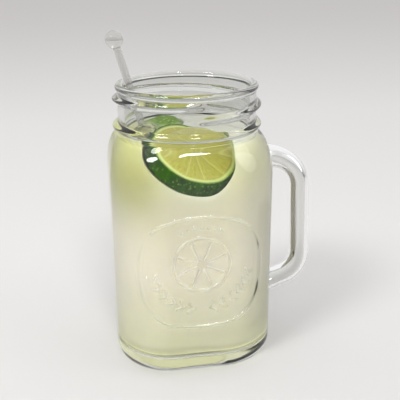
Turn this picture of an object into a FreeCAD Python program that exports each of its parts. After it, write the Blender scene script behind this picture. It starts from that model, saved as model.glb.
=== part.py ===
import FreeCAD, Part
import math
import os

from FreeCAD import Vector

# Italian soda in a moulded handled jar: a rounded-square glass jar with a
# screw neck and a side handle, filled with a pale citrus drink, with two lime
# slices and a ball-topped glass stirrer.
# Millimetres, +Z up.  The origin is at the middle of the jar's foot, the
# front panel faces -Y and the handle stands out along +X.

# --- jar body -------------------------------------------------------------
JAR_HEIGHT = 134.0          # foot to the top of the lip
BODY_WIDTH = 76.0           # across two opposite flat panels
BODY_CORNER = 26.0          # radius of the upright corners
HEEL_ROUND = 9.0            # rounding between the walls and the foot
WALL = 3.6                  # glass of the walls
BASE_THICKNESS = 7.0        # glass of the floor
CAVITY_ROUND = 7.0          # rounding between the cavity's wall and floor
PUNT_DEPTH = 1.6            # hollow under the foot
PUNT_RADIUS = 23.0
PUNT_SLOPE = 4.0            # width of the hollow's sloping edge

# --- shoulder and neck ----------------------------------------------------
SHOULDER_HEIGHT = 20.0      # from the end of the flat panels to the neck
NECK_HEIGHT = 22.5          # from the shoulder to the top of the lip
NECK_RADIUS = 32.3
MOUTH_RADIUS = 29.5         # clear bore of the neck
SHOULDER_STEPS = 5          # sections that shape the shoulder

# --- rings on the neck ----------------------------------------------------
BEAD_RADIUS = 35.0          # transfer bead, at the foot of the neck
BEAD_WIDTH = 3.6
BEAD_CENTRE = 19.2          # below the top of the lip
THREAD_RADIUS = 34.8        # crest of the screw thread
THREAD_PITCH = 6.35
THREAD_WIDTH = 2.9          # at its root
THREAD_TURN = 376.0         # degrees
THREAD_START = -97.0        # degrees from +X, seen from above
THREAD_DROP = 11.6          # centre of its low end, below the top of the lip
THREAD_SINK = 0.6           # how far its root is buried in the neck
LIP_RADIUS = 33.2
LIP_HEIGHT = 3.4            # of the rounded lip

# --- handle ---------------------------------------------------------------
HANDLE_WIDTH = 12.0         # along the wall
HANDLE_THICKNESS = 8.3      # away from the wall
HANDLE_ROOT_THICKNESS = 10.6
HANDLE_STANDOFF = 20.9      # wall to the middle of the grip's low end
HANDLE_LEAN = 2.2           # how much nearer the grip's top is
HANDLE_TOP = 38.0           # below the top of the lip, middle of the top arm
HANDLE_SPAN = 61.4          # from the top arm to the corner of the low arm
HANDLE_LOW_DROP = 7.6       # how far the low arm falls towards the wall
HANDLE_TOP_BEND = 17.0
HANDLE_LOW_BEND = 13.0
HANDLE_BITE = 1.8           # how far its ends run into the wall

# --- drink ----------------------------------------------------------------
HEADSPACE = 22.0            # top of the lip down to the drink's surface
FIT_GAP = 0.15              # drink clear of what stands in it

# --- lime wheel, afloat at the front and leaning back ----------------------
LIME_RADIUS = 20.0          # over the rind, at the widest
LIME_THICKNESS = 8.0
LIME_BULGE = 0.9            # how much narrower the wheel is at its cut faces
LIME_FACE = (0.30, -0.42, 0.86)     # the way its upper cut face looks
LIME_SINK = 7.8             # middle of that face, below the surface
LIME_BACK_EDGE = 6.0       # how far back it reaches, from the jar's axis
LIME_TO_ROD = 0.4           # its left edge to the middle of the stirrer

# --- end piece of the lime, afloat behind the wheel ------------------------
END_LIME_RADIUS = 11.0      # at its cut face, which is underneath
END_LIME_HEIGHT = 8.0
END_LIME_TIP = 3.0          # radius of the flat stalk scar on top
END_LIME_FACE = (-0.25, -0.15, 0.95)
END_LIME_SINK = 6.4         # middle of the cut face, below the surface
END_LIME_ASIDE = 10.4        # its middle, right of the wheel's left edge
END_LIME_BEHIND = 11.2       # its middle, behind the wheel's back edge

# --- stirrer --------------------------------------------------------------
ROD_RADIUS = 1.8
ROD_RISE = 18.9             # middle of its ball above the lip
BALL_RADIUS = 4.2
ROD_FOOT_BEARING = -30.0    # where the foot stands, degrees from +X
ROD_FOOT_OUT = 9.5          # from the jar's axis
ROD_LIP_BEARING = 167.5     # where the rod leans on the mouth
ROD_CLEARANCE = 0.15        # to the glass under its foot
ROD_LIP_CLEARANCE = 0.3     # to the bore it leans on

HALF = BODY_WIDTH / 2
NECK_BASE = JAR_HEIGHT - NECK_HEIGHT
PANEL_TOP = NECK_BASE - SHOULDER_HEIGHT
HANDLE_REACH = HALF + HANDLE_STANDOFF
FILL_LEVEL = JAR_HEIGHT - HEADSPACE
CAVITY_HALF = HALF - WALL
CAVITY_CORNER = BODY_CORNER - WALL
NEARLY_ROUND = 0.4          # straight left in a section that is almost round
OVERLAP = 1.0               # how far fused sub-parts run into each other


def rounded_square(half, corner, z):
    """Closed wire with four straight sides and four round corners."""
    straight = half - corner
    diagonal = corner * math.sqrt(0.5)
    edges = []
    for quarter in range(4):
        turn = FreeCAD.Rotation(Vector(0, 0, 1), 90.0 * quarter)
        start = Vector(-straight, -half, z)
        end = Vector(straight, -half, z)
        middle = Vector(straight + diagonal, -straight - diagonal, z)
        corner_end = Vector(half, -straight, z)
        start, end, middle, corner_end = [turn.multVec(p) for p in (start, end, middle, corner_end)]
        edges.append(Part.makeLine(start, end))
        edges.append(Part.Arc(end, middle, corner_end).toShape())
    return Part.Wire(edges)


def shoulder_sections(half, corner, neck, low, high):
    """Sections from the flat panels in to the round neck, on a quarter oval."""
    wires = []
    neck_corner = neck - NEARLY_ROUND
    for step in range(SHOULDER_STEPS + 1):
        angle = math.radians(90.0 * step / SHOULDER_STEPS)
        share = 1 - math.cos(angle)
        z = low + (high - low) * math.sin(angle)
        size = half + (neck - half) * share
        round_ = corner + (neck_corner - corner) * share
        wires.append(rounded_square(size, min(round_, size - NEARLY_ROUND), z))
    return wires


def panel_block(half, corner, low, high, edge_round):
    """The upright walls, rounded where they meet the foot or the floor."""
    face = Part.Face(rounded_square(half, corner, low))
    block = face.extrude(Vector(0, 0, high - low))
    foot_edges = [e for e in block.Edges if e.BoundBox.ZMax < low + 0.01]
    return block.makeFillet(edge_round, foot_edges)


def ring(points_and_arcs):
    """Revolve a closed outline, drawn in the XZ plane, about the jar's axis."""
    face = Part.Face(Part.Wire(points_and_arcs))
    return face.revolve(Vector(0, 0, 0), Vector(0, 0, 1), 360)


def half_round_ring(inner, crest, centre, width):
    """A ring round the neck whose outer side is a round swelling."""
    low = Vector(inner, 0, centre - width / 2)
    high = Vector(inner, 0, centre + width / 2)
    swelling = Part.Arc(low, Vector(crest, 0, centre), high).toShape()
    return ring([swelling, Part.makeLine(high, low)])


def neck_tube():
    """The neck's outside, solid, with the round lip on top."""
    side = LIP_RADIUS - LIP_HEIGHT / 2
    lip_low = JAR_HEIGHT - LIP_HEIGHT
    low = NECK_BASE - OVERLAP
    corners = [
        Vector(side, 0, JAR_HEIGHT),
        Vector(0, 0, JAR_HEIGHT),
        Vector(0, 0, low),
        Vector(NECK_RADIUS, 0, low),
        Vector(NECK_RADIUS, 0, lip_low),
        Vector(side, 0, lip_low),
    ]
    outline = [Part.makeLine(here, there) for here, there in zip(corners, corners[1:])]
    lip_side = Vector(LIP_RADIUS, 0, JAR_HEIGHT - LIP_HEIGHT / 2)
    outline.append(Part.Arc(corners[-1], lip_side, corners[0]).toShape())
    return ring(outline)


def screw_thread():
    """One turn and a little more of round thread, wound up the neck."""
    height = THREAD_PITCH * THREAD_TURN / 360.0
    path = Part.makeHelix(THREAD_PITCH, height, NECK_RADIUS)
    root = NECK_RADIUS - THREAD_SINK
    low = Vector(root, 0, -THREAD_WIDTH / 2)
    high = Vector(root, 0, THREAD_WIDTH / 2)
    crest = Vector(THREAD_RADIUS, 0, 0)
    profile = Part.Wire([Part.Arc(low, crest, high).toShape(), Part.makeLine(high, low)])
    thread = Part.Wire(path.Edges).makePipeShell([profile], True, True)
    place = Vector(0, 0, JAR_HEIGHT - THREAD_DROP)
    thread.Placement = FreeCAD.Placement(place, FreeCAD.Rotation(Vector(0, 0, 1), THREAD_START))
    return thread


def cavity(top):
    """The space inside the jar, from the floor up to a height in the neck."""
    walls = panel_block(CAVITY_HALF, CAVITY_CORNER, BASE_THICKNESS, PANEL_TOP, CAVITY_ROUND)
    shoulder = Part.makeLoft(
        shoulder_sections(CAVITY_HALF, CAVITY_CORNER, MOUTH_RADIUS, PANEL_TOP, NECK_BASE), True, False
    )
    bore_bottom = Vector(0, 0, NECK_BASE - OVERLAP / 2)
    bore = Part.makeCylinder(MOUTH_RADIUS, top - bore_bottom.z, bore_bottom)
    return walls.fuse([shoulder, bore]).removeSplitter()


def punt():
    """The shallow hollow under the foot."""
    low = Vector(0, 0, -OVERLAP)
    wide = PUNT_RADIUS + PUNT_SLOPE * OVERLAP / PUNT_DEPTH
    return Part.makeCone(wide, PUNT_RADIUS - PUNT_SLOPE, OVERLAP + PUNT_DEPTH, low)


def rounded_corner(before, corner, after, radius):
    """Where an arc of this radius leaves and joins two straight runs."""
    back = (before - corner).normalize()
    ahead = (after - corner).normalize()
    half_angle = back.getAngle(ahead) / 2
    reach = radius / math.tan(half_angle)
    centre_way = (back + ahead).normalize()
    centre = corner + centre_way * (radius / math.sin(half_angle))
    return corner + back * reach, centre - centre_way * radius, corner + ahead * reach


def handle_oval(thickness, place, run):
    """The handle's oval section, square to its run."""
    across = run.cross(Vector(0, 1, 0))
    oval = Part.Ellipse(
        place + Vector(0, HANDLE_WIDTH / 2, 0), place + across * (thickness / 2), place
    )
    return Part.Wire([oval.toShape()])


def handle():
    """A bent oval bar: a level top arm, a straight grip and a falling low arm."""
    top = JAR_HEIGHT - HANDLE_TOP
    low = top - HANDLE_SPAN
    root = HALF - HANDLE_BITE
    start = Vector(root, 0, top)
    top_corner = Vector(HANDLE_REACH - HANDLE_LEAN, 0, top)
    low_corner = Vector(HANDLE_REACH, 0, low)
    end = Vector(root, 0, low - HANDLE_LOW_DROP)
    top_bend = rounded_corner(start, top_corner, low_corner, HANDLE_TOP_BEND)
    low_bend = rounded_corner(top_corner, low_corner, end, HANDLE_LOW_BEND)
    path = Part.Wire([
        Part.makeLine(start, top_bend[0]),
        Part.Arc(*top_bend).toShape(),
        Part.makeLine(top_bend[2], low_bend[0]),
        Part.Arc(*low_bend).toShape(),
        Part.makeLine(low_bend[2], end),
    ])
    sections = [
        handle_oval(HANDLE_ROOT_THICKNESS, start, Vector(1, 0, 0)),
        handle_oval(HANDLE_THICKNESS, top_bend[2], (low_corner - top_corner).normalize()),
        handle_oval(HANDLE_THICKNESS, end, (end - low_corner).normalize()),
    ]
    return path.makePipeShell(sections, True, False)


def glass_jar():
    walls = panel_block(HALF, BODY_CORNER, 0, PANEL_TOP, HEEL_ROUND)
    shoulder = Part.makeLoft(
        shoulder_sections(HALF, BODY_CORNER, NECK_RADIUS, PANEL_TOP, NECK_BASE), True, False
    )
    bead = half_round_ring(NECK_RADIUS - OVERLAP, BEAD_RADIUS, JAR_HEIGHT - BEAD_CENTRE, BEAD_WIDTH)
    outside = walls.fuse([shoulder, neck_tube(), bead, screw_thread(), handle()])
    return outside.cut([cavity(JAR_HEIGHT + OVERLAP), punt()])


def place_along(shape, place, way):
    """Stand a shape made along +Z at a place, so that it points some way."""
    turn = FreeCAD.Rotation(Vector(0, 0, 1), Vector(*way))
    shape.Placement = FreeCAD.Placement(Vector(*place), turn)
    return shape


def wheel_left_edge():
    """The lime wheel floats just to the right of the stirrer."""
    return rod_at(FILL_LEVEL).x + LIME_TO_ROD


def lime_wheel(grow=0.0):
    """A thick cross slice: both faces cut, the rind's edge barrel shaped."""
    face_radius = LIME_RADIUS - LIME_BULGE + grow
    under = -LIME_THICKNESS - grow
    corners = [Vector(face_radius, 0, under), Vector(0, 0, under), Vector(0, 0, grow), Vector(face_radius, 0, grow)]
    outline = [Part.makeLine(here, there) for here, there in zip(corners, corners[1:])]
    belly = Vector(LIME_RADIUS + grow, 0, -LIME_THICKNESS / 2)
    outline.append(Part.Arc(corners[-1], belly, corners[0]).toShape())
    middle = (wheel_left_edge() + LIME_RADIUS, LIME_BACK_EDGE - LIME_RADIUS, FILL_LEVEL - LIME_SINK)
    return place_along(ring(outline), middle, LIME_FACE)


def lime_end(grow=0.0):
    """The domed end of the fruit, afloat with its cut face down."""
    wide = END_LIME_RADIUS + grow
    top = END_LIME_HEIGHT + grow
    cut = -grow
    haunch = Vector(END_LIME_TIP + (wide - END_LIME_TIP) * 0.78, 0, cut + (top - cut) * 0.66)
    corners = [Vector(END_LIME_TIP, 0, top), Vector(0, 0, top), Vector(0, 0, cut), Vector(wide, 0, cut)]
    outline = [Part.makeLine(here, there) for here, there in zip(corners, corners[1:])]
    outline.append(Part.Arc(corners[-1], haunch, corners[0]).toShape())
    aside = wheel_left_edge() + END_LIME_ASIDE
    middle = (aside, LIME_BACK_EDGE + END_LIME_BEHIND, FILL_LEVEL - END_LIME_SINK)
    return place_along(ring(outline), middle, END_LIME_FACE)


def rod_line():
    """Foot and direction of the stirrer: it stands on the floor and leans on the mouth."""
    foot_way = math.radians(ROD_FOOT_BEARING)
    lip_way = math.radians(ROD_LIP_BEARING)
    lip_out = MOUTH_RADIUS - ROD_RADIUS - ROD_LIP_CLEARANCE
    foot = Vector(
        ROD_FOOT_OUT * math.cos(foot_way),
        ROD_FOOT_OUT * math.sin(foot_way),
        BASE_THICKNESS + ROD_RADIUS + ROD_CLEARANCE,
    )
    lip = Vector(lip_out * math.cos(lip_way), lip_out * math.sin(lip_way), JAR_HEIGHT)
    return foot, (lip - foot).normalize()


def rod_at(height):
    """The point on the stirrer's middle line at a height above the foot."""
    foot, way = rod_line()
    return foot + way * ((height - foot.z) / way.z)


def stirrer(grow=0.0):
    """A glass rod with a round foot, and a ball to hold it by."""
    foot, way = rod_line()
    ball_place = rod_at(JAR_HEIGHT + ROD_RISE)
    rod = Part.makeCylinder(ROD_RADIUS + grow, foot.distanceToPoint(ball_place), foot, way)
    tip = Part.makeSphere(ROD_RADIUS + grow)
    tip.Placement.Base = foot
    ball = Part.makeSphere(BALL_RADIUS + grow)
    ball.Placement.Base = ball_place
    return rod.fuse([tip, ball])


def drink():
    """Fills the cavity up to its level, clear round what stands in it."""
    space = Part.makeBox(BODY_WIDTH, BODY_WIDTH, FILL_LEVEL, Vector(-HALF, -HALF, 0))
    filled = cavity(JAR_HEIGHT).common(space)
    return filled.cut([lime_wheel(FIT_GAP), lime_end(FIT_GAP), stirrer(FIT_GAP)])


def write(name, shape):
    """Save one piece, which has to be one sound solid."""
    solids = shape.Solids
    if len(solids) != 1 or not solids[0].isValid():
        raise ValueError("%s is %d solids" % (name, len(solids)))
    solids[0].exportStep("parts/%s.step" % name)
    print(name, "volume %.1f cm3" % (solids[0].Volume / 1000))


os.makedirs("parts", exist_ok=True)
write("glass_jar", glass_jar())
write("soda", drink())
write("lime_front", lime_wheel())
write("lime_back", lime_end())
write("stirrer", stirrer())
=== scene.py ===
import math

import bmesh
import bpy
import numpy as np
from mathutils import Matrix, Vector, noise


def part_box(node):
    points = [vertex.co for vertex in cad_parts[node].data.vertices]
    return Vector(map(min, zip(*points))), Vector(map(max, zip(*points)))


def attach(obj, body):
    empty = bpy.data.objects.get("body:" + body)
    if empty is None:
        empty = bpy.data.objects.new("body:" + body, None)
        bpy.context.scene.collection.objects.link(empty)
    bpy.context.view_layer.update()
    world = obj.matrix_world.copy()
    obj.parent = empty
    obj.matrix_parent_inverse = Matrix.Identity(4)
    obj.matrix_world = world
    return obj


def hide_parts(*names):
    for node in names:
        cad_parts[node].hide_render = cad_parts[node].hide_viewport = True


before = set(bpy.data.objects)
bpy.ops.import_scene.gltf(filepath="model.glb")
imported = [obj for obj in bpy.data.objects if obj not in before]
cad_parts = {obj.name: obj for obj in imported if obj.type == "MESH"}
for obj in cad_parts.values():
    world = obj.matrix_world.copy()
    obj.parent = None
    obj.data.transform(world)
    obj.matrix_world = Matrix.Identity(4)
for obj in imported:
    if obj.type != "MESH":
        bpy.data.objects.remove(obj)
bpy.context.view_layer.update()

MM = 0.001


# --- Table, light and view ------------------------------------------------
# A pale matt table that runs back under the glass.  Soft lamps light it from the
# upper left, from the front and, more weakly, from the right, in a grey room.

def linear(colour):
    """Linear red, green and blue of an sRGB hex colour, with full alpha."""
    parts = [int(colour[i:i + 2], 16) / 255 for i in (1, 3, 5)]
    return [p / 12.92 if p <= 0.04045 else ((p + 0.055) / 1.055) ** 2.4 for p in parts] + [1.0]


def add(tree, kind, inputs=None, **settings):
    """Add a node: settings are its properties, inputs are values or sockets to link."""
    made = tree.nodes.new(kind)
    for name, value in settings.items():
        setattr(made, name, value)
    for name, value in (inputs or {}).items():
        if isinstance(value, bpy.types.NodeSocket):
            tree.links.new(value, made.inputs[name])
        else:
            made.inputs[name].default_value = value
    return made


def new_material(name):
    """An empty node material and its output."""
    material = bpy.data.materials.new(name)
    material.use_nodes = True
    material.node_tree.nodes.clear()
    return material, material.node_tree, add(material.node_tree, "ShaderNodeOutputMaterial")


def colour_steps(tree, factor, steps):
    """Blend a row of hex colours along a factor, each at its own place."""
    ramp = add(tree, "ShaderNodeValToRGB", {"Fac": factor})
    stops = ramp.color_ramp.elements
    while len(stops) < len(steps):
        stops.new(0.5)
    for stop, (place, colour) in zip(stops, steps):
        stop.position = place
        stop.color = linear(colour)
    return ramp.outputs["Color"]


def mix_colour(tree, factor, first, second):
    """Blend two colours; each is a socket or a hex colour."""
    blend = tree.nodes.new("ShaderNodeMix")
    blend.data_type = "RGBA"
    tree.links.new(factor, blend.inputs[0])
    for slot, colour in ((6, first), (7, second)):
        if isinstance(colour, str):
            blend.inputs[slot].default_value = linear(colour)
        else:
            tree.links.new(colour, blend.inputs[slot])
    return blend.outputs[2]


def matt_table():
    """Painted board: matt, with painted shade that makes it darker in front of the glass and a
    little darker far from the lamps.
    """
    material, tree, output = new_material("matt_table")
    place = add(tree, "ShaderNodeTexCoord").outputs["Object"]
    away = add(tree, "ShaderNodeSeparateXYZ", {"Vector": place}).outputs["Y"]
    share = add(tree, "ShaderNodeMapRange", {"Value": away, "From Min": -0.5, "From Max": 1.6})
    # Painted shade: the colour darkens in front of the glass and far from the lamps.
    tint = colour_steps(tree, share.outputs["Result"], [
        (0.0, "#8E8E8C"), (0.12, "#A2A2A0"), (0.19, "#CDCBCA"),
        (0.29, "#D6D4D3"), (0.47, "#DEDCDB"), (1.0, "#DAD7D6"),
    ])
    board = add(tree, "ShaderNodeBsdfPrincipled", {"Base Color": tint, "Roughness": 0.9})
    tree.links.new(board.outputs["BSDF"], output.inputs["Surface"])
    return material


def mesh_object(name, points, faces, material=None, smooth=True):
    """A new mesh object from points in metres and faces."""
    mesh = bpy.data.meshes.new(name)
    mesh.from_pydata(points, [], faces)
    mesh.update()
    piece = bpy.data.objects.new(name, mesh)
    bpy.context.scene.collection.objects.link(piece)
    if material:
        mesh.materials.append(material)
    if smooth:
        mesh.shade_smooth()
    return piece


TABLE_REACH = 6.0
table = mesh_object(
    "table",
    [(x, y, -0.0001) for x, y in ((-TABLE_REACH, -1.5), (TABLE_REACH, -1.5),
                                  (TABLE_REACH, TABLE_REACH), (-TABLE_REACH, TABLE_REACH))],
    [(0, 1, 2, 3)], matt_table(), smooth=False,
)


def soft_lamp(name, place, aim, size, power, colour="#FFFFFF"):
    """A round soft box that faces a point."""
    lamp = bpy.data.lights.new(name, "AREA")
    lamp.shape = "DISK"
    lamp.size = size
    lamp.energy = power
    lamp.color = linear(colour)[:3]
    holder = bpy.data.objects.new(name, lamp)
    holder.location = place
    holder.rotation_euler = (Vector(aim) - Vector(place)).to_track_quat("-Z", "Y").to_euler()
    bpy.context.scene.collection.objects.link(holder)
    return holder


soft_lamp("lamp_upper_left", (-0.72, -0.50, 0.9), (0, 0, 0.06), 0.34, 6.5)
soft_lamp("lamp_front", (0.10, -1.00, 0.95), (0, 0, 0.08), 0.30, 6.2)
soft_lamp("lamp_right", (0.95, -0.45, 0.5), (0, 0, 0.07), 0.8, 2.2, "#F6F8FF")

world = bpy.data.worlds.new("grey_room")
bpy.context.scene.world = world
world.use_nodes = True
world.node_tree.nodes.clear()
sky = world.node_tree
room_way = add(sky, "ShaderNodeTexCoord").outputs["Generated"]
room_side = add(sky, "ShaderNodeSeparateXYZ", {"Vector": room_way})
room_lift = add(sky, "ShaderNodeMath", {0: room_side.outputs["Z"], 1: 0.9}, operation="MULTIPLY")
room_mix = add(sky, "ShaderNodeMath",
               {0: room_side.outputs["Y"], 1: room_lift.outputs["Value"]}, operation="ADD")
room_share = add(sky, "ShaderNodeMapRange",
                 {"Value": room_mix.outputs["Value"], "From Min": -1.0, "From Max": 0.9})
room_tint = colour_steps(sky, room_share.outputs["Result"], [
    (0.0, "#767674"), (0.45, "#B9B9B7"), (0.75, "#EFEFEE"), (1.0, "#FFFFFF"),
])
room = add(sky, "ShaderNodeBackground", {"Color": room_tint, "Strength": 0.9})
sky.links.new(room.outputs["Background"], add(sky, "ShaderNodeOutputWorld").inputs["Surface"])

TURN = math.radians(9.8)        # the glass stands turned this far from the line of sight
LOOK_DOWN = math.radians(20.22)
TILT = math.radians(-0.35)
STAND_OFF = 319.3 * MM
EYE_HEIGHT = 193.2 * MM
ASIDE = 5.8 * MM
camera = bpy.data.objects.new("camera", bpy.data.cameras.new("camera"))
camera.data.lens = 62.43
camera.data.sensor_width = 36.0
camera.data.clip_start = 0.01
turned = Matrix.Rotation(-TURN, 4, "Z")
camera.matrix_world = (
    turned
    @ Matrix.Translation((ASIDE, -STAND_OFF, EYE_HEIGHT))
    @ Matrix.Rotation(math.pi / 2 - LOOK_DOWN, 4, "X")
    @ Matrix.Rotation(TILT, 4, "Z")
)
bpy.context.scene.collection.objects.link(camera)
bpy.context.scene.camera = camera
bpy.context.scene.view_settings.view_transform = "Standard"


# --- Glass jar ------------------------------------------------------------
# One thick piece of pressed soda-lime glass: rounded-square body, round screw
# neck, and a bent handle joined to the side while hot.  The front panel
# is sunk and carries a raised oval with a citrus wheel and two sprigs.

jar_low, jar_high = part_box("glass_jar")
JAR_TOP = jar_high[2]
HALF = -jar_low[0]
CORNER = 26.0 * MM
HEEL = 9.0 * MM
WALL = 3.6 * MM
FLOOR = 7.0 * MM
FLOOR_ROUND = 7.0 * MM
PUNT = (23.0 * MM, 19.0 * MM, 1.6 * MM)      # outer radius, inner radius, depth
NECK = 32.3 * MM
MOUTH = 29.5 * MM
NECK_BASE = JAR_TOP - 22.5 * MM
PANEL_TOP = NECK_BASE - 20.0 * MM
BEAD_HEIGHT = JAR_TOP - 19.2 * MM
BEAD_RISE = 2.65 * MM
BEAD_HALF = 2.3 * MM
THREAD_PITCH = 6.35 * MM
THREAD_RISE = 2.45 * MM
THREAD_HALF = 2.3 * MM
THREAD_LOW = JAR_TOP - 11.6 * MM
THREAD_START = math.radians(-97.0)
THREAD_TURN = math.radians(376.0)
THREAD_FADE = math.radians(26.0)
LIP = 33.2 * MM
LIP_HEIGHT = 3.4 * MM


def column_angles(fine, coarse):
    """Bearings round the jar, close together across the front panel."""
    spread = math.radians(41.0)
    front = -math.pi / 2
    across = np.arange(front - spread, front + spread, fine)
    count = int((2 * math.pi - (across[-1] - across[0])) / coarse)
    round_back = np.linspace(across[-1], across[0] + 2 * math.pi, count + 1)[1:-1]
    return np.concatenate([across, round_back])


def rounded_square(angles, half, corner):
    """Distance from the axis to a rounded square's edge at each bearing."""
    folded = np.abs((angles + math.pi / 4) % (math.pi / 2) - math.pi / 4)
    centre = half - corner
    along = (np.cos(folded) + np.sin(folded)) * centre
    arc = along + np.sqrt(np.maximum(along ** 2 - 2 * centre ** 2 + corner ** 2, 0.0))
    flat = half / np.cos(folded)
    return np.where(np.tan(folded) * half <= centre, flat, arc)


def wall_section(height, half, corner, neck, floor, round_):
    """Half width and corner radius of the body, outside or inside, at a height."""
    if height < floor + round_:
        inset = round_ - math.sqrt(max(round_ ** 2 - (floor + round_ - height) ** 2, 0.0))
        return half - inset, corner - inset
    if height <= PANEL_TOP:
        return half, corner
    rise = min((height - PANEL_TOP) / (NECK_BASE - PANEL_TOP), 1.0)
    share = 1 - math.sqrt(1 - rise ** 2)
    return half + (neck - half) * share, corner + (neck - corner) * share


def soft_ridge(distance, half_width):
    """A round-topped ridge, 1 on its line and 0 at its edges."""
    inside = np.clip(1 - (distance / half_width) ** 2, 0.0, 1.0)
    return inside ** 0.75


def smooth_step(share):
    """0 to 1 with soft ends."""
    share = np.clip(share, 0.0, 1.0)
    return share * share * (3 - 2 * share)


def mould_depth(angles):
    """Share of a ridge's full height: the mould draws it lower in front and behind."""
    return 0.5 + 0.5 * np.abs(np.cos(angles)) ** 5.0


def thread_rise(angles, height):
    """Height of the screw thread at each bearing, fading at both its ends."""
    rise = np.zeros_like(angles)
    for turn in (0, 1):
        wound = (angles - THREAD_START) % (2 * math.pi) + turn * 2 * math.pi
        centre = THREAD_LOW + THREAD_PITCH * wound / (2 * math.pi)
        fade = np.clip(np.minimum(wound, THREAD_TURN - wound) / THREAD_FADE, 0.0, 1.0)
        swell = np.cos(np.clip((height - centre) / THREAD_HALF, -1, 1) * math.pi / 2) ** 1.6
        rise = np.maximum(rise, swell * smooth_step(fade))
    return rise * mould_depth(angles) * THREAD_RISE


def line_distance(x, z, ax, az, bx, bz):
    """Distance from points on the panel to a straight line between two points."""
    dx, dz = bx - ax, bz - az
    share = np.clip(((x - ax) * dx + (z - az) * dz) / (dx * dx + dz * dz), 0.0, 1.0)
    return np.hypot(x - ax - share * dx, z - az - share * dz)


def panel_relief(x, z):
    """Raised design on the front panel, 0 to 1, from places in millimetres."""
    relief = np.zeros_like(x)
    oval = (np.abs(x / 29.0) ** 2.7 + np.abs((z - 53.5) / 27.0) ** 2.7) ** (1 / 2.7)
    relief = np.maximum(relief, soft_ridge((oval - 1) * 28.0, 0.8))
    wheel_z = 58.0
    out = np.hypot(x, z - wheel_z)
    relief = np.maximum(relief, soft_ridge(out - 13.0, 1.0))
    for spoke in range(8):
        way = math.radians(45.0 * spoke + 22.5)
        ends = [(r * math.cos(way), wheel_z + r * math.sin(way)) for r in (2.5, 11.0)]
        spoke_line = line_distance(x, z, *ends[0], *ends[1])
        relief = np.maximum(relief, soft_ridge(spoke_line, 0.8) * 0.9)
    sprig_z, sprig_r = 60.0, 24.0
    for side in (-1, 1):
        for leaf in range(6):
            way = math.radians(-90 + side * (9 + 11.5 * leaf))
            stem = (sprig_r * math.cos(way), sprig_z + sprig_r * math.sin(way))
            for spread in (-0.75, 0.75):
                lean = way + side * math.pi / 2 + spread
                tip = (stem[0] + 3.4 * math.cos(lean), stem[1] + 3.4 * math.sin(lean))
                leaf_line = line_distance(x, z, *stem, *tip)
                relief = np.maximum(relief, soft_ridge(leaf_line, 0.95) * 0.9)
    dots_z, dots_r = 56.5, 19.5
    for dot in range(-3, 4):
        way = math.radians(90 + 9.0 * dot)
        out = np.hypot(x - dots_r * math.cos(way), z - dots_z - dots_r * math.sin(way))
        relief = np.maximum(relief, soft_ridge(out, 1.0))
    return relief


RELIEF_HEIGHT = 1.1 * MM     # the panel round the design lies this much lower than the walls
RELIEF_SPAN = (24.0, 84.0)   # heights between which the design lies, in millimetres
PANEL_HALF_WIDTH = 34.5      # the sunk panel's edges, in millimetres
PANEL_SPAN = (17.0, 90.0)
PANEL_FACE = -35.6           # what lies in front of this is the outside of the front panel


def ring_at(angles, radius, height):
    """A level ring of points at the given bearings."""
    level = np.full_like(angles, height)
    return np.stack([radius * np.cos(angles), radius * np.sin(angles), level], axis=1)


def ring_body(name, rings, material):
    """A closed body from rings of points, from its lowest middle to its last middle."""
    count = len(rings[0])
    first = rings[0].mean(axis=0)
    last = rings[-1].mean(axis=0)
    points = np.concatenate([first[None], *rings, last[None]])
    faces = [(0, 1 + (i + 1) % count, 1 + i) for i in range(count)]
    for level in range(len(rings) - 1):
        low, high = 1 + level * count, 1 + (level + 1) * count
        faces += [(low + i, low + (i + 1) % count, high + (i + 1) % count, high + i)
                  for i in range(count)]
    top = 1 + (len(rings) - 1) * count
    faces += [(top + i, top + (i + 1) % count, len(points) - 1) for i in range(count)]
    return mesh_object(name, points.tolist(), faces, material)


def outer_heights():
    """Heights of the rings outside, close together where the glass has relief."""
    heel = HEEL * (1 - np.cos(np.linspace(0, math.pi / 2, 14)))
    plain_low = np.linspace(HEEL, 24.5 * MM, 8)[1:-1]
    panel = np.arange(24.5, 83.0, 0.4) * MM
    plain_high = np.linspace(83.0 * MM, PANEL_TOP, 5)[1:]
    shoulder = PANEL_TOP + (NECK_BASE - PANEL_TOP) * np.sin(np.linspace(0, math.pi / 2, 26))[1:]
    neck = np.arange(NECK_BASE + 0.2 * MM, JAR_TOP - LIP_HEIGHT, 0.26 * MM)
    return np.concatenate([heel, plain_low, panel, plain_high, shoulder, neck])


def outer_ring(angles, height):
    """One ring of the outside of the jar, with bead, thread and panel design."""
    half, corner = wall_section(height, HALF, CORNER, NECK, 0.0, HEEL)
    radius = rounded_square(angles, half, corner)
    bead = soft_ridge(height - BEAD_HEIGHT, BEAD_HALF) ** 1.6
    radius = radius + BEAD_RISE * mould_depth(angles) * bead
    skirt = np.clip((BEAD_HEIGHT + 1.2 * MM - height) / (4.4 * MM), 0.0, 1.0)
    if height > NECK_BASE - 1.5 * MM:
        radius = np.maximum(radius, NECK + 0.9 * MM * skirt)
        radius = radius + thread_rise(angles, height)
    front = np.cos(angles + math.pi / 2) > 0.5
    x = radius * np.cos(angles) / MM
    z = np.full_like(x, height / MM)
    sunk = smooth_step((PANEL_HALF_WIDTH - np.abs(x)) / 6.0)
    sunk = sunk * smooth_step((z - PANEL_SPAN[0]) / 6.0) * smooth_step((PANEL_SPAN[1] - z) / 9.0)
    raised = panel_relief(x, z) if RELIEF_SPAN[0] < z[0] < RELIEF_SPAN[1] else np.zeros_like(x)
    radius = radius - np.where(front, np.maximum(sunk - raised, 0.0) * RELIEF_HEIGHT, 0.0)
    return ring_at(angles, radius, height)


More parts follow.
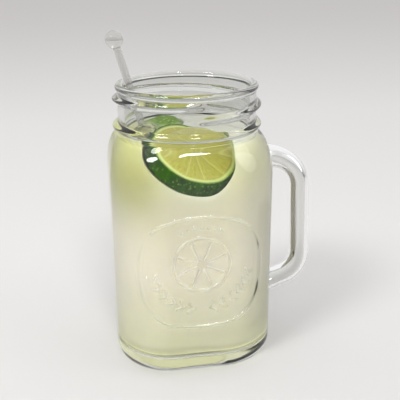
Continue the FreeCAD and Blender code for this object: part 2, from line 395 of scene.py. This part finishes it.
def jar_shell(material):
    """The jar without its handle, as one closed skin from the foot up and down inside."""
    angles = column_angles(math.radians(0.5), math.radians(1.3))
    punt_out, punt_in, punt_depth = PUNT
    rings = [ring_at(angles, punt_in * share, punt_depth) for share in (0.5, 1.0)]
    rings.append(ring_at(angles, punt_out, 0.0))
    rings += [outer_ring(angles, height) for height in outer_heights()]
    lip_round = LIP_HEIGHT / 2
    for way in np.linspace(-math.pi / 2, math.pi / 2, 13):
        rings.append(ring_at(angles, LIP - lip_round + lip_round * math.cos(way),
                             JAR_TOP - lip_round + lip_round * math.sin(way)))
    edge_round = 1.5 * MM
    for way in np.linspace(math.pi / 2, math.pi, 8):
        rings.append(ring_at(angles, MOUTH + edge_round + edge_round * math.cos(way),
                             JAR_TOP - edge_round * (1 - math.sin(way))))
    rings += [ring_at(angles, MOUTH, height)
              for height in np.linspace(JAR_TOP - 2.5 * MM, NECK_BASE + 0.5 * MM, 12)]
    rings += inside_rings(angles, 0.0, NECK_BASE)[::-1]
    return ring_body("glass_jar_dressed", rings, material)


def shrunk(ring, share):
    """A ring drawn in to a share of its width about its own middle."""
    middle = ring.mean(axis=0)
    return middle + (ring - middle) * share


def inside_heights(top):
    """Heights of the rings inside, from the floor up to a level."""
    heel = FLOOR + FLOOR_ROUND * (1 - np.cos(np.linspace(0.05, math.pi / 2, 12)))
    walls = np.linspace(FLOOR + FLOOR_ROUND, PANEL_TOP, 14)[1:]
    shoulder = PANEL_TOP + (NECK_BASE - PANEL_TOP) * np.sin(np.linspace(0, math.pi / 2, 22))[1:]
    heights = np.concatenate([heel, walls, shoulder])
    return np.append(heights[heights < top - 0.3 * MM], top)


def inside_rings(angles, reach, top):
    """Rings of the cavity wall up to a level, moved out into the glass by a reach."""
    rings = []
    for height in inside_heights(top):
        half, corner = wall_section(height, HALF - WALL, CORNER - WALL, MOUTH, FLOOR, FLOOR_ROUND)
        radius = rounded_square(angles, half, corner) + reach
        low = height - reach if height < FLOOR + FLOOR_ROUND else height
        rings.append(ring_at(angles, radius, low))
    return [shrunk(rings[0], share) for share in (0.35, 0.7)] + rings


HANDLE_HALF_WIDTH = 6.0 * MM
HANDLE_THICK = (11.4 * MM, 9.4 * MM)     # at the upper root, along the grip
HANDLE_INWARD = 1.0 * MM     # the bar thickens towards the jar, not outwards
HANDLE_SWELL_RUN = 26.0 * MM # run over which its upper root thins to the grip
HANDLE_FLARE = 0.28          # share by which both ends widen at the wall
HANDLE_FLARE_RUN = 1.7 * MM
HANDLE_BURIED = 1.6 * MM     # length of each end that lies inside the wall
HANDLE_ROOT = HALF - 1.8 * MM
HANDLE_REACH = HALF + 20.9 * MM - HANDLE_INWARD
HANDLE_TOP = JAR_TOP - 38.0 * MM
HANDLE_SPAN = 61.4 * MM
HANDLE_CORNERS = [
    Vector((HANDLE_ROOT, 0, HANDLE_TOP)),
    Vector((HANDLE_REACH - 2.2 * MM, 0, HANDLE_TOP)),
    Vector((HANDLE_REACH, 0, HANDLE_TOP - HANDLE_SPAN)),
    Vector((HANDLE_ROOT, 0, HANDLE_TOP - HANDLE_SPAN - 7.6 * MM)),
]
HANDLE_BENDS = (17.0 * MM, 13.0 * MM)


def handle_line():
    """Points and runs along the handle's middle: three straights and two bends."""
    line = [HANDLE_CORNERS[0]]
    for corner, radius, before, after in zip(HANDLE_CORNERS[1:3], HANDLE_BENDS,
                                             HANDLE_CORNERS, HANDLE_CORNERS[2:]):
        back = (before - corner).normalized()
        ahead = (after - corner).normalized()
        half = back.angle(ahead) / 2
        centre = corner + (back + ahead).normalized() * radius / math.sin(half)
        start = corner + back * radius / math.tan(half) - centre
        turn = math.pi - 2 * half
        steps = 22
        for step in range(steps + 1):
            line.append(centre + Matrix.Rotation(turn * step / steps, 3, "Y") @ start)
    line.append(HANDLE_CORNERS[3])
    return line


def spaced(line, gap):
    """The same line with its long runs divided."""
    points = [line[0]]
    for here, there in zip(line, line[1:]):
        parts = max(1, round((there - here).length / gap))
        points += [here.lerp(there, (k + 1) / parts) for k in range(parts)]
    return points


def handle_bar(material):
    """Oval bar along the handle's line, thicker at the top and flared at the wall."""
    line = spaced(handle_line(), 1.2 * MM)
    steps = [0.0]
    for here, there in zip(line, line[1:]):
        steps.append(steps[-1] + (there - here).length)
    turns = np.linspace(0, 2 * math.pi, 49)[:-1]
    root_thick, grip_thick = HANDLE_THICK
    rings = []
    for index, point in enumerate(line):
        run = (line[min(index + 1, len(line) - 1)] - line[max(index - 1, 0)]).normalized()
        across = Vector((0, 1, 0)).cross(run)
        from_top, from_low = steps[index], steps[-1] - steps[index]
        swell = max(0.0, 1 - from_top / HANDLE_SWELL_RUN) ** 1.5
        thick = grip_thick + (root_thick - grip_thick) * swell
        near = min(from_top, from_low) - HANDLE_BURIED
        flare = 1 + HANDLE_FLARE * min(math.exp(-near / HANDLE_FLARE_RUN), 1.0)
        wide, high = HANDLE_HALF_WIDTH * flare, thick / 2 * flare
        ring = [point + Vector((0, wide * math.cos(turn), 0)) + across * (high * math.sin(turn))
                for turn in turns]
        rings.append(np.array([list(spot) for spot in ring]))
    return ring_body("handle_bar", rings, material)


def mark_raised(mesh):
    """Store on each point how far it stands up in the design on the front panel."""
    points = np.empty(len(mesh.vertices) * 3)
    mesh.vertices.foreach_get("co", points)
    x, y, z = points.reshape(-1, 3).T / MM
    outside = (y < PANEL_FACE) & (z > RELIEF_SPAN[0]) & (z < RELIEF_SPAN[1])
    layer = mesh.attributes.new("raised", "FLOAT", "POINT")
    layer.data.foreach_set("value", np.where(outside, panel_relief(x, z), 0.0).astype(np.float32))


def let_lamps_through(tree, output, surface, tint):
    """Show a clear surface as it is, but pass lamp light straight through it."""
    clear = add(tree, "ShaderNodeBsdfTransparent", {"Color": linear(tint)})
    shadow = add(tree, "ShaderNodeLightPath").outputs["Is Shadow Ray"]
    mixed = add(tree, "ShaderNodeMixShader", {"Fac": shadow})
    tree.links.new(surface.outputs["BSDF"], mixed.inputs[1])
    tree.links.new(clear.outputs["BSDF"], mixed.inputs[2])
    tree.links.new(mixed.outputs["Shader"], output.inputs["Surface"])


def pressed_glass():
    """Soda-lime glass: clear and fire polished, a faint wave in its skin, satin where rubbed."""
    material, tree, output = new_material("pressed_glass")
    raised = add(tree, "ShaderNodeAttribute", attribute_name="raised").outputs["Fac"]
    satin = add(tree, "ShaderNodeMapRange",
                {"Value": raised, "From Min": 0.05, "From Max": 0.6, "To Max": 0.32})
    place = add(tree, "ShaderNodeTexCoord").outputs["Object"]
    wave = add(tree, "ShaderNodeTexNoise",
               {"Vector": place, "Scale": 1 / (14 * MM), "Detail": 1.0})
    bump = add(tree, "ShaderNodeBump",
               {"Height": wave.outputs["Fac"], "Strength": 0.12, "Distance": 0.5 * MM})
    glass = add(tree, "ShaderNodeBsdfPrincipled", {
        "Base Color": linear("#E6E7E4"), "Roughness": satin.outputs["Result"], "IOR": 1.5,
        "Transmission Weight": 1.0, "Normal": bump.outputs["Normal"],
    })
    let_lamps_through(tree, output, glass, "#F4F6F5")
    return material


def apply_modifiers(piece):
    """Give a piece the mesh that its modifiers make of it, shaded smooth."""
    graph = bpy.context.evaluated_depsgraph_get()
    piece.data = bpy.data.meshes.new_from_object(piece.evaluated_get(graph))
    piece.modifiers.clear()
    piece.data.shade_smooth()


def combine(body, tool, operation):
    """Join a closed tool to a body or cut it out of the body, and remove the tool."""
    change = body.modifiers.new("combine", "BOOLEAN")
    change.operation = operation
    change.solver = "MANIFOLD"
    change.object = tool
    apply_modifiers(body)
    bpy.data.objects.remove(tool)


glass = pressed_glass()
jar = jar_shell(glass)
combine(jar, handle_bar(glass), "UNION")
mark_raised(jar.data)
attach(jar, "root")
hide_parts("glass_jar")


# --- Soda -----------------------------------------------------------------
# Citrus soda, cloudy with juice.  Its outermost layer is a clear tinted liquid
# that wets the glass; behind that the juice makes it milky and opaque.

LEVEL = JAR_TOP - 22.0 * MM
WETTING = 0.12 * MM         # how far the liquid reaches into the glass
MENISCUS = 0.9 * MM         # how far it climbs at the glass, and over what width


def clear_soda():
    """Sugar water with lime juice: clear in a thin layer, olive in a deep one."""
    material, tree, output = new_material("clear_soda")
    liquid = add(tree, "ShaderNodeBsdfPrincipled", {
        "Base Color": linear("#FFFFFF"), "Roughness": 0.0, "IOR": 1.333, "Transmission Weight": 1.0,
    })
    let_lamps_through(tree, output, liquid, "#FFFFFF")
    tint = add(tree, "ShaderNodeVolumeAbsorption",
               {"Color": [0.80, 0.82, 0.30, 1.0], "Density": 13.0})
    tree.links.new(tint.outputs["Volume"], output.inputs["Volume"])
    return material


def liquid_rings(angles):
    """The drink's skin: against the glass up to its level, then in over the surface."""
    rings = inside_rings(angles, WETTING, LEVEL + MENISCUS)
    edge = rings[-1]
    middle = np.array([0, 0, LEVEL])
    for inward in (0.25, 0.6, 1.1, 1.8, 2.8, 4.5, 8.0, 14.0, 21.0, 28.0):
        share = 1 - inward * MM / (HALF - WALL)
        ring = middle + (edge - middle) * share
        ring[:, 2] = LEVEL + MENISCUS * math.exp(-inward * MM / MENISCUS)
        rings.append(ring)
    return rings


drink_angles = column_angles(math.radians(1.2), math.radians(1.6))
liquid = ring_body("soda_clear", liquid_rings(drink_angles), clear_soda())
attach(liquid, "root")
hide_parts("soda")

CLEAR_LAYER = 1.2 * MM      # clear drink between the glass and the milky part
TOP_CLEAR = 0.35 * MM       # and over it, at the surface


def milky_soda():
    """Juice and pulp in suspension: soft, warm white, greener towards top, foot and left, with a
    painted grey reflection on its surface and a painted glow underneath.
    """
    material, tree, output = new_material("milky_soda")
    place = add(tree, "ShaderNodeTexCoord").outputs["Object"]
    split = add(tree, "ShaderNodeSeparateXYZ", {"Vector": place})
    height, side = split.outputs["Z"], split.outputs["X"]
    normal = add(tree, "ShaderNodeNewGeometry").outputs["Normal"]
    up = add(tree, "ShaderNodeSeparateXYZ", {"Vector": normal}).outputs["Z"]

    cloud = add(tree, "ShaderNodeTexNoise",
                {"Vector": place, "Scale": 1 / (30 * MM), "Detail": 2.0})
    drift = add(tree, "ShaderNodeMath",
                {0: cloud.outputs["Fac"], 1: 14 * MM}, operation="MULTIPLY")
    level = add(tree, "ShaderNodeMath", {0: height, 1: drift.outputs["Value"]}, operation="ADD")
    share = add(tree, "ShaderNodeMapRange",
                {"Value": level.outputs["Value"], "From Min": 10 * MM, "From Max": LEVEL})
    tint = colour_steps(tree, share.outputs["Result"], [
        (0.0, "#CCCAA2"), (0.22, "#DCD8C0"), (0.5, "#E8E0D2"), (0.78, "#DED8C4"), (1.0, "#CDCAAC"),
    ])

    # Painted reflection: upward faces near the surface are painted grey, standing in for the sheen
    # of the drink's surface.
    near_top = add(tree, "ShaderNodeMath",
                   {0: height, 1: LEVEL - 4 * MM}, operation="GREATER_THAN")
    faces_up = add(tree, "ShaderNodeMapRange", {"Value": up, "From Min": 0.6, "From Max": 0.95})
    painted_surface_sheen = add(tree, "ShaderNodeMath",
               {0: near_top.outputs["Value"], 1: faces_up.outputs["Result"]}, operation="MULTIPLY")
    tint = mix_colour(tree, painted_surface_sheen.outputs["Value"], tint, "#C6C5BC")

    leftward = add(tree, "ShaderNodeMapRange",
                   {"Value": side, "From Min": -8 * MM, "From Max": -30 * MM},
                   interpolation_type="SMOOTHSTEP")
    upward = add(tree, "ShaderNodeMapRange",
                 {"Value": height, "From Min": 66 * MM, "From Max": 98 * MM},
                 interpolation_type="SMOOTHSTEP")
    upper_left = add(tree, "ShaderNodeMath", {0: leftward.outputs["Result"],
                                              1: upward.outputs["Result"]}, operation="MULTIPLY")
    greener = add(tree, "ShaderNodeMath",
                  {0: upper_left.outputs["Value"], 1: 0.85}, operation="MULTIPLY")
    tint = mix_colour(tree, greener.outputs["Value"], tint, "#A9A866")

    # Painted glow: emission under the drink and round its foot stands in for light passed down
    # through it.
    under = add(tree, "ShaderNodeMapRange", {"Value": up, "From Min": -0.2, "From Max": -0.9})
    low = add(tree, "ShaderNodeMapRange",
              {"Value": height, "From Min": 20 * MM, "From Max": 8 * MM, "To Max": 0.3})
    deep = add(tree, "ShaderNodeMath", {0: under.outputs["Result"], 1: 1.2}, operation="MULTIPLY")
    painted_glow = add(tree, "ShaderNodeMath",
               {0: deep.outputs["Value"], 1: low.outputs["Result"]}, operation="MAXIMUM")
    juice = add(tree, "ShaderNodeBsdfPrincipled", {
        "Base Color": tint, "Roughness": 0.7, "Specular IOR Level": 0.0, "Subsurface Weight": 1.0,
        "Subsurface Radius": [1.0, 0.97, 0.8], "Subsurface Scale": 14 * MM,
        "Emission Color": linear("#CBCBA6"), "Emission Strength": painted_glow.outputs["Value"],
    })
    tree.links.new(juice.outputs["BSDF"], output.inputs["Surface"])
    return material


def core_rings(angles):
    """The milky part: the cavity's shape set in a little, nearly up to the surface."""
    floor = FLOOR + CLEAR_LAYER
    heel = floor + FLOOR_ROUND * (1 - np.cos(np.linspace(0.05, math.pi / 2, 12)))
    walls = np.linspace(floor + FLOOR_ROUND, PANEL_TOP, 14)[1:]
    shoulder = np.linspace(PANEL_TOP, LEVEL - TOP_CLEAR, 12)[1:]
    rings = []
    for height in np.concatenate([heel, walls, shoulder]):
        deep = smooth_step((LEVEL - height) / (10 * MM))
        layer = TOP_CLEAR + (CLEAR_LAYER - TOP_CLEAR) * deep
        half, corner = wall_section(height, HALF - WALL - layer, CORNER - WALL - layer,
                                    MOUTH - layer, floor, FLOOR_ROUND)
        rings.append(ring_at(angles, rounded_square(angles, half, corner), height))
    return ([shrunk(rings[0], share) for share in (0.35, 0.7)] + rings
            + [shrunk(rings[-1], share) for share in (0.7, 0.35)])


core = ring_body("soda_milky", core_rings(drink_angles), milky_soda())
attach(core, "root")
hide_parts("soda")


# --- Lime wheel -----------------------------------------------------------
# A thick cross slice of lime, knife cut on both sides: juicy segments between
# pale membranes, a thin pith, and waxy dark rind pitted with oil glands.

WHEEL_RADIUS = 20.0 * MM
WHEEL_THICK = 8.0 * MM
WHEEL_WAY = Vector((0.30, -0.42, 0.86)).normalized()
WHEEL_MIDDLE = Vector((-0.2 * MM, -14.0 * MM, LEVEL - 7.8 * MM)) - WHEEL_WAY * (WHEEL_THICK / 2)
RIND_DEPTH = 0.9 * MM
PITH_DEPTH = 1.6 * MM
SEGMENTS = 10
MEMBRANE_REACH = 0.45 * MM   # how far a membrane shows on either side of its middle
FLESH_SWELL = 0.35 * MM      # how far a segment stands up between its membranes


def fruit_attributes(piece, pith, membrane, rind):
    """Store how much of each point is pith, membrane or rind, from rows of values by ring.

    A body's first and last points are the middles of its end rings.
    """
    for name, rows in (("pith", pith), ("membrane", membrane), ("rind", rind)):
        values = np.concatenate([rows[0][:1], *rows, rows[-1][:1]])
        layer = piece.data.attributes.new(name, "FLOAT", "POINT")
        layer.data.foreach_set("value", np.clip(values, 0, 1).astype(np.float32))


def segment_edges(rng):
    """Uneven bearings of the membranes between segments."""
    widths = rng.uniform(0.8, 1.2, SEGMENTS)
    return np.cumsum(widths) / widths.sum() * 2 * math.pi


def near_membrane(turns, out, edges, heart):
    """Distance to the nearest membrane from points of one ring of the cut face."""
    apart = (turns[:, None] - edges[None, :] + math.pi) % (2 * math.pi) - math.pi
    return np.where(out < heart, 0.0, np.min(np.abs(apart), axis=1) * out)


def cut_lime(name, skin_steps, gland_colour):
    """Wet lime: glassy flesh full of long juice cells, matt pith and waxy pitted rind."""
    material, tree, output = new_material(name)
    membrane = add(tree, "ShaderNodeAttribute", attribute_name="membrane").outputs["Fac"]
    pith = add(tree, "ShaderNodeAttribute", attribute_name="pith").outputs["Fac"]
    rind = add(tree, "ShaderNodeAttribute", attribute_name="rind").outputs["Fac"]
    place = add(tree, "ShaderNodeTexCoord").outputs["Object"]

    split = add(tree, "ShaderNodeSeparateXYZ", {"Vector": place})
    bearing = add(tree, "ShaderNodeMath",
                  {0: split.outputs["Y"], 1: split.outputs["X"]}, operation="ARCTAN2")
    out = add(tree, "ShaderNodeVectorMath", {0: place}, operation="LENGTH")
    round_heart = add(tree, "ShaderNodeMath",
                      {0: bearing.outputs["Value"], 1: 7.0}, operation="MULTIPLY")
    from_heart = add(tree, "ShaderNodeMath",
                     {0: out.outputs["Value"], 1: 170.0}, operation="MULTIPLY")
    cell = add(tree, "ShaderNodeCombineXYZ",
               {"X": round_heart.outputs["Value"], "Y": from_heart.outputs["Value"]})
    juice_cells = add(tree, "ShaderNodeTexNoise",
                      {"Vector": cell.outputs["Vector"], "Scale": 2.2, "Detail": 2.0})
    flesh = colour_steps(tree, juice_cells.outputs["Fac"], [
        (0.25, "#9E9A48"), (0.5, "#A8A356"), (0.75, "#B3AD66"),
    ])

    pores = add(tree, "ShaderNodeTexVoronoi", {"Vector": place, "Scale": 1 / (1.7 * MM)})
    mottle = add(tree, "ShaderNodeTexNoise",
                 {"Vector": place, "Scale": 1 / (5 * MM), "Detail": 3.0})
    skin = colour_steps(tree, mottle.outputs["Fac"], skin_steps)
    gland = add(tree, "ShaderNodeMapRange", {
        "Value": pores.outputs["Distance"], "From Min": 0.0, "From Max": 0.34,
        "To Min": 1.0, "To Max": 0.0,
    })
    skin = mix_colour(tree, gland.outputs["Result"], skin, gland_colour)
    dimples = add(tree, "ShaderNodeMath",
                  {0: pores.outputs["Distance"], 1: rind}, operation="MULTIPLY")
    bump = add(tree, "ShaderNodeBump",
               {"Height": dimples.outputs["Value"], "Strength": 0.5, "Distance": 0.25 * MM})

    tint = mix_colour(tree, membrane, flesh, "#BDBB7C")
    tint = mix_colour(tree, pith, tint, "#C3CC8A")
    tint = mix_colour(tree, rind, tint, skin)
    wet = add(tree, "ShaderNodeMapRange", {"Value": rind, "To Min": 0.35, "To Max": 0.5})
    fruit = add(tree, "ShaderNodeBsdfPrincipled", {
        "Base Color": tint, "Roughness": wet.outputs["Result"], "Specular IOR Level": 0.05,
        "Normal": bump.outputs["Normal"], "Subsurface Weight": 0.25,
        "Subsurface Radius": [1.0, 1.0, 0.4], "Subsurface Scale": 1.5 * MM,
    })
    tree.links.new(fruit.outputs["BSDF"], output.inputs["Surface"])
    return material


def wheel_rows():
    """Reach and height of each ring: over the lower face, round the rind, over the upper."""
    half = WHEEL_THICK / 2
    face = WHEEL_RADIUS - RIND_DEPTH
    flat = face - 1.0 * MM
    skin_inset, skin_bow = 0.35 * MM, 1.25 * MM
    to_edge = 1.06                      # brings the skin's ends up to the two faces
    rows = [(share * flat, -half) for share in np.linspace(0.02, 1, 34)]
    for way in np.linspace(-70, 70, 25):
        bow = math.cos(math.radians(way) * 0.9)
        rows.append((face - skin_inset + skin_bow * bow,
                     half * math.sin(math.radians(way)) * to_edge))
    return rows + [(share * flat, half) for share in np.linspace(1, 0.02, 34)]


def make_lime_wheel(material):
    """The wheel about its own middle: slightly out of round, flesh swollen on its faces."""
    edges = segment_edges(np.random.default_rng(4))
    turns = np.linspace(0, 2 * math.pi, 289)[:-1]
    wobble = 1 + 0.012 * np.sin(3 * turns + 1.0) + 0.006 * np.sin(7 * turns + 2.0)
    flesh_edge = WHEEL_RADIUS - RIND_DEPTH - PITH_DEPTH
    rind_edge = WHEEL_RADIUS - RIND_DEPTH - 0.05 * MM
    rings, pith, membrane, rind = [], [], [], []
    for out, height in wheel_rows():
        reach = out * wobble if out > WHEEL_RADIUS * 0.5 else np.full_like(turns, out)
        reach = np.minimum(reach, WHEEL_RADIUS)
        gap = near_membrane(turns, out, edges, 1.3 * MM)
        is_flesh = float(out < flesh_edge)
        lift = np.full_like(turns, height)
        if abs(height) > WHEEL_THICK * 0.49:
            swell = FLESH_SWELL * np.clip(gap / (2.2 * MM), 0, 1) ** 0.5 * is_flesh
            lift = height + np.sign(height) * (swell - FLESH_SWELL)
        rings.append(np.stack([reach * np.cos(turns), reach * np.sin(turns), lift], axis=1))
        is_rind = float(abs(height) < WHEEL_THICK * 0.492 or out > rind_edge)
        pith.append(np.full_like(turns, 1.0 - is_flesh))
        membrane.append(np.clip(1 - gap / MEMBRANE_REACH, 0, 1) * is_flesh)
        rind.append(np.full_like(turns, is_rind))
    piece = ring_body("lime_wheel", rings, material)
    fruit_attributes(piece, pith, membrane, rind)
    return piece


def standing(middle, way):
    """The move that turns +Z to a direction and the origin to a place."""
    turn = Vector((0, 0, 1)).rotation_difference(way)
    return Matrix.Translation(middle) @ turn.to_matrix().to_4x4()


LIME_SKIN = [(0.3, "#1E3F04"), (0.6, "#2F5A06"), (0.85, "#467A0C")]
wheel = make_lime_wheel(cut_lime("cut_lime", LIME_SKIN, "#86A84C"))
wheel.matrix_world = standing(WHEEL_MIDDLE, WHEEL_WAY)
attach(wheel, "root")
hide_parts("lime_front")

POCKET_GROWTH = 1.02         # the pocket round a piece is this much larger than the piece


def cut_pocket(body, piece, ways):
    """Take out of a body the space of a piece and of what lies between it and the eye."""
    bpy.context.view_layer.update()
    corners = [piece.matrix_world @ (vertex.co * POCKET_GROWTH) for vertex in piece.data.vertices]
    hull = bmesh.new()
    for way in [Vector((0, 0, 0))] + ways:
        for corner in corners:
            hull.verts.new(corner + way)
    bmesh.ops.convex_hull(hull, input=hull.verts)
    loose = [vertex for vertex in hull.verts if not vertex.link_faces]
    bmesh.ops.delete(hull, geom=loose, context="VERTS")
    shape = bpy.data.meshes.new("pocket")
    hull.to_mesh(shape)
    hull.free()
    tool = bpy.data.objects.new("pocket", shape)
    bpy.context.scene.collection.objects.link(tool)
    combine(body, tool, "DIFFERENCE")
    body.data.set_sharp_from_angle(angle=math.radians(35.0))


cut_pocket(core, wheel, [Vector((-4.5 * MM, -26 * MM, 7.8 * MM)),
                         Vector((-5 * MM, -26 * MM, 17 * MM))])


# --- Lime end piece -------------------------------------------------------
# The domed end of the fruit, cut off and afloat with its face down: nearly all
# of what shows is waxy rind, paler than the wheel's.

END_RADIUS = 11.0 * MM
END_HEIGHT = 8.0 * MM
END_WAY = Vector((-0.25, -0.15, 0.95)).normalized()
END_MIDDLE = Vector((-9.8 * MM, 17.2 * MM, LEVEL - 6.4 * MM))
PALE_SKIN = [(0.3, "#557327"), (0.6, "#7A9646"), (0.85, "#95AC63")]


def make_lime_end(material):
    """The end piece about the middle of its cut face, with faint lobes in its dome."""
    edges = segment_edges(np.random.default_rng(9))
    turns = np.linspace(0, 2 * math.pi, 193)[:-1]
    flesh_edge = END_RADIUS - 2.8 * MM
    face = [(share * (END_RADIUS - 0.4 * MM), 0.0) for share in np.linspace(0.03, 1, 16)]
    dome = [(END_RADIUS * math.cos(way) ** 0.8 + 0.2 * MM * math.sin(way),
             END_HEIGHT * math.sin(way) ** 1.15)
            for way in np.linspace(0.04, 1, 26) * math.pi / 2]
    rings, pith, membrane, rind = [], [], [], []
    for index, (out, height) in enumerate(face + dome):
        is_face = index < len(face)
        is_flesh = is_face and out < flesh_edge
        reach = out * (1 + 0.02 * np.sin(5 * turns) * (height / END_HEIGHT))
        level = np.full_like(turns, height)
        rings.append(np.stack([reach * np.cos(turns), reach * np.sin(turns), level], axis=1))
        gap = near_membrane(turns, out, edges, 1.0 * MM)
        membrane.append(np.clip(1 - gap / MEMBRANE_REACH, 0, 1) * is_flesh)
        pith.append(np.full_like(turns, float(is_face and not is_flesh)))
        rind.append(np.full_like(turns, float(not is_face)))
    piece = ring_body("lime_end", rings, material)
    fruit_attributes(piece, pith, membrane, rind)
    return piece


end_piece = make_lime_end(cut_lime("pale_lime_end", PALE_SKIN, "#B4C588"))
end_piece.matrix_world = standing(END_MIDDLE, END_WAY)
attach(end_piece, "root")
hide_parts("lime_back")
SMALL_SWEEP = [Vector((-3 * MM, -13 * MM, 13 * MM))]
cut_pocket(core, end_piece, SMALL_SWEEP)


# --- Stirrer --------------------------------------------------------------
# A drawn glass rod, rounded in the flame at its foot, with a solid ball
# fused on top to hold it by.

rod_low, rod_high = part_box("stirrer")
ROD = 1.8 * MM
BALL = 4.2 * MM
ROD_FOOT = Vector((rod_high[0] - ROD, rod_low[1] + ROD, rod_low[2] + ROD))
BALL_MIDDLE = Vector((rod_low[0] + BALL, rod_high[1] - BALL, rod_high[2] - BALL))


def frosted_glass():
    """Drawn soda-lime glass: finely acid frosted above the rim and below the ball, else clear."""
    material, tree, output = new_material("frosted_glass")
    place = add(tree, "ShaderNodeTexCoord").outputs["Object"]
    height = add(tree, "ShaderNodeSeparateXYZ", {"Vector": place}).outputs["Z"]
    above = add(tree, "ShaderNodeMapRange", {
        "Value": height, "From Min": JAR_TOP - 2 * MM, "From Max": JAR_TOP + 3 * MM,
    })
    below = add(tree, "ShaderNodeMapRange", {
        "Value": height, "From Min": BALL_MIDDLE.z - 3 * MM, "From Max": BALL_MIDDLE.z - 6 * MM,
    })
    band = add(tree, "ShaderNodeMath",
               {0: above.outputs["Result"], 1: below.outputs["Result"]}, operation="MULTIPLY")
    haze = add(tree, "ShaderNodeMapRange",
               {"Value": band.outputs["Value"], "To Min": 0.05, "To Max": 0.32})
    frost = add(tree, "ShaderNodeBsdfPrincipled", {
        "Base Color": linear("#D2D1CE"), "Roughness": haze.outputs["Result"], "IOR": 1.45,
        "Transmission Weight": 0.85,
    })
    let_lamps_through(tree, output, frost, "#D8D8D6")
    return material


def make_stirrer(material):
    """The rod along +Z from the middle of its round foot, with the ball on its far end."""
    length = (BALL_MIDDLE - ROD_FOOT).length
    neck_way = math.asin(ROD / BALL)
    rows = [(ROD * math.sin(way), -ROD * math.cos(way))
            for way in np.linspace(0.1, math.pi / 2, 10)]
    rows += [(ROD * 0.985, height) for height in np.linspace(0, length - BALL - 0.3 * MM, 60)[1:]]
    rows += [(BALL * math.sin(way), length - BALL * math.cos(way))
             for way in np.linspace(neck_way, math.pi - 0.06, 40)]
    turns = np.linspace(0, 2 * math.pi, 65)[:-1]
    return ring_body("glass_stirrer", [ring_at(turns, out, height) for out, height in rows],
                     material)


rod = make_stirrer(frosted_glass())
rod.data.transform(standing(ROD_FOOT, BALL_MIDDLE - ROD_FOOT))
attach(rod, "root")
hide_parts("stirrer")


# --- Ice ------------------------------------------------------------------
# A small melting cube, faintly hazy, with edges and corners melted round.
# It floats beside the stirrer.

ICE_SIZE = 12.0 * MM
ICE_MIDDLE = Vector((-19.6 * MM, -4.6 * MM, LEVEL - 2.6 * MM))
ICE_BOXINESS = 3             # 2 would melt it to a ball; a large number is a sharp cube
ICE_DENT = 0.09              # depth of its dents, as a share of its size


def melting_ice():
    """Freezer ice with a wet, faintly hazy skin."""
    material, tree, output = new_material("melting_ice")
    ice = add(tree, "ShaderNodeBsdfPrincipled", {
        "Base Color": linear("#E9EBE4"), "Roughness": 0.12, "IOR": 1.31, "Transmission Weight": 1.0,
    })
    let_lamps_through(tree, output, ice, "#FFFFFF")
    return material


def cube_grid(cells):
    """Points and faces of a cube from -1 to 1, each side divided into square cells."""
    grid = np.linspace(-1, 1, cells + 1)
    points, faces = [], []
    for axis in range(3):
        for side in (-1, 1):
            start = len(points)
            for a in grid:
                for b in grid:
                    spot = [0.0, 0.0, 0.0]
                    spot[axis], spot[(axis + 1) % 3], spot[(axis + 2) % 3] = side, a, b
                    points.append(spot)
            for i in range(cells):
                for j in range(cells):
                    corner = start + i * (cells + 1) + j
                    quad = (corner, corner + cells + 1, corner + cells + 2, corner + 1)
                    faces.append(quad if side > 0 else quad[::-1])
    return points, faces


def make_ice(material):
    """A cube with its edges rounded, then dented as melting leaves it."""
    points, faces = cube_grid(20)
    melted = []
    for spot in points:
        way = Vector(spot)
        way = way / sum(abs(part) ** ICE_BOXINESS for part in way) ** (1 / ICE_BOXINESS)
        dent = 1 + ICE_DENT * noise.noise(way * 1.7 + Vector((3, 1, 2)))
        melted.append(list(way * dent * ICE_SIZE / 2))
    piece = mesh_object("ice_cube", melted, faces, material)
    weld = piece.modifiers.new("weld", "WELD")
    weld.merge_threshold = 0.02 * MM
    apply_modifiers(piece)
    return piece


ice = make_ice(melting_ice())
ice.matrix_world = (Matrix.Translation(ICE_MIDDLE)
                    @ Matrix.Rotation(0.5, 4, "Z") @ Matrix.Rotation(0.35, 4, "X"))
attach(ice, "root")
cut_pocket(core, ice, SMALL_SWEEP)
